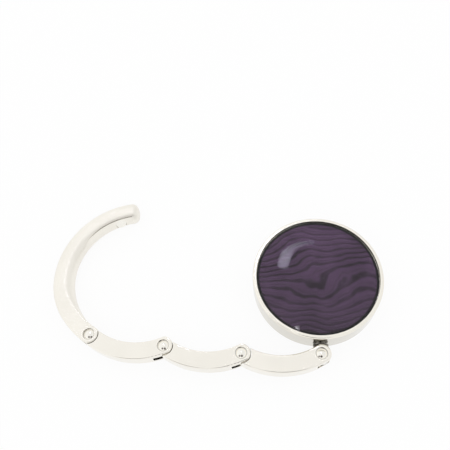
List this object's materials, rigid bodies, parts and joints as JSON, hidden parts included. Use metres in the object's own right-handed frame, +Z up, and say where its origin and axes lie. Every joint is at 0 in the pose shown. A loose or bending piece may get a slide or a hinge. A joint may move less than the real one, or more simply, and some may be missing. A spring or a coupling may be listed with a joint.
{
  "type": "folding purse hook",
  "caption": "Table-top purse hook: a round disc with a rubber foot and a swivelling chain of hinged links and a hook arm that folds round it into a ring.",
  "frame": {"origin": "centre of the rubber pad's rest face, under the disc", "axes": "+Z up along the disc's axis, the swivel leaves the disc towards -Y and the opened chain runs towards -X"},
  "size_m": [0.0917, 0.0509, 0.0077],
  "materials": {
    "nickel_disc": "polished nickel plate on a zinc casting",
    "nickel_plate": "stamped sheet, lightly brushed",
    "nickel_chain": "polished nickel plate on zinc castings",
    "adhesive_film": "thin adhesive film",
    "rubber_pad": "matt black anti-slip rubber",
    "grain_print": null,
    "clear_dome": "clear glossy resin",
    "magnet": "nickel plated magnet",
    "steel_bush": "turned, nickel plated",
    "steel_pins": "ground steel dowel",
    "steel_eye": "nickel plated steel",
    "steel_rivet": "nickel plated, domed heads"
  },
  "bodies": {
    "disc": {"disc_housing": "nickel_disc", "base_plate": "nickel_plate", "pad_adhesive": "adhesive_film", "rubber_pad": "rubber_pad", "insert_adhesive": "adhesive_film", "print_disc": "grain_print", "epoxy_dome": "clear_dome", "catch_magnet": "magnet", "swivel_bush": "steel_bush", "swivel_pins": "steel_pins"},
    "swivel": {"swivel_eye": "steel_eye"},
    "first_link": {"link_1": "nickel_chain", "rivet_a": "steel_rivet"},
    "second_link": {"link_2": "nickel_chain", "rivet_b": "steel_rivet"},
    "third_link": {"link_3": "nickel_chain", "rivet_c": "steel_rivet"},
    "hook": {"hook_arm": "nickel_chain", "tip_magnet": "magnet", "rivet_d": "steel_rivet"}
  },
  "joints": [
    {"name": "swivel_turn", "type": "hinge", "parent": "disc", "child": "swivel", "pos_m": [0, -0.01735, 0.00275], "axis": [0, -1, 0], "continuous": true},
    {"name": "hinge_a", "type": "hinge", "parent": "swivel", "child": "first_link", "pos_m": [0, -0.0204, 0.00275], "axis": [0, 0, -1], "range_deg": [-90, 30]},
    {"name": "hinge_b", "type": "hinge", "parent": "first_link", "child": "second_link", "pos_m": [-0.02055, -0.02031, 0.00275], "axis": [0, 0, -1], "range_deg": [-5, 55.5]},
    {"name": "hinge_c", "type": "hinge", "parent": "second_link", "child": "third_link", "pos_m": [-0.04102, -0.01843, 0.00275], "axis": [0, 0, -1], "range_deg": [-3.4, 57.1]},
    {"name": "hinge_d", "type": "hinge", "parent": "third_link", "child": "hook", "pos_m": [-0.06134, -0.01534, 0.00275], "axis": [0, 0, -1], "range_deg": [-53.3, 7.2]}
  ]
}
